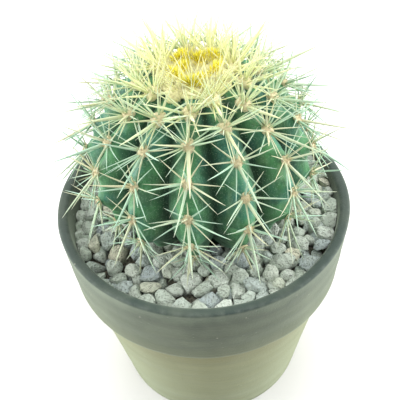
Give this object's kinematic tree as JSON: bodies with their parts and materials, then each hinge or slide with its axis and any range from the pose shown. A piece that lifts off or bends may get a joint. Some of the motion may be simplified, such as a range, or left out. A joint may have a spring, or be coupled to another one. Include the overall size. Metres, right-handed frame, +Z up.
{
  "type": "potted round cactus",
  "caption": "Round ribbed cactus with star clusters of spines and a woolly crown, growing in a tapered clay pot topped with pumice gravel.",
  "frame": {"origin": "centre of the pot's underside, on the surface it stands on", "axes": "+Z up along the pot's axis; -Y towards the side that faces the viewer"},
  "size_m": [0.122, 0.122, 0.1837],
  "materials": {
    "clay": "matte",
    "soil": "matte",
    "pumice": "matte",
    "cactus_skin": "satin",
    "crown_wool": "matte",
    "spines": "satin",
    "areole_felt": "matte"
  },
  "bodies": {
    "root": {"pot": "clay", "potting_soil": "soil", "gravel_topdressing": "pumice", "cactus": "cactus_skin", "crown_wool": "crown_wool"}
  },
  "joints": []
}
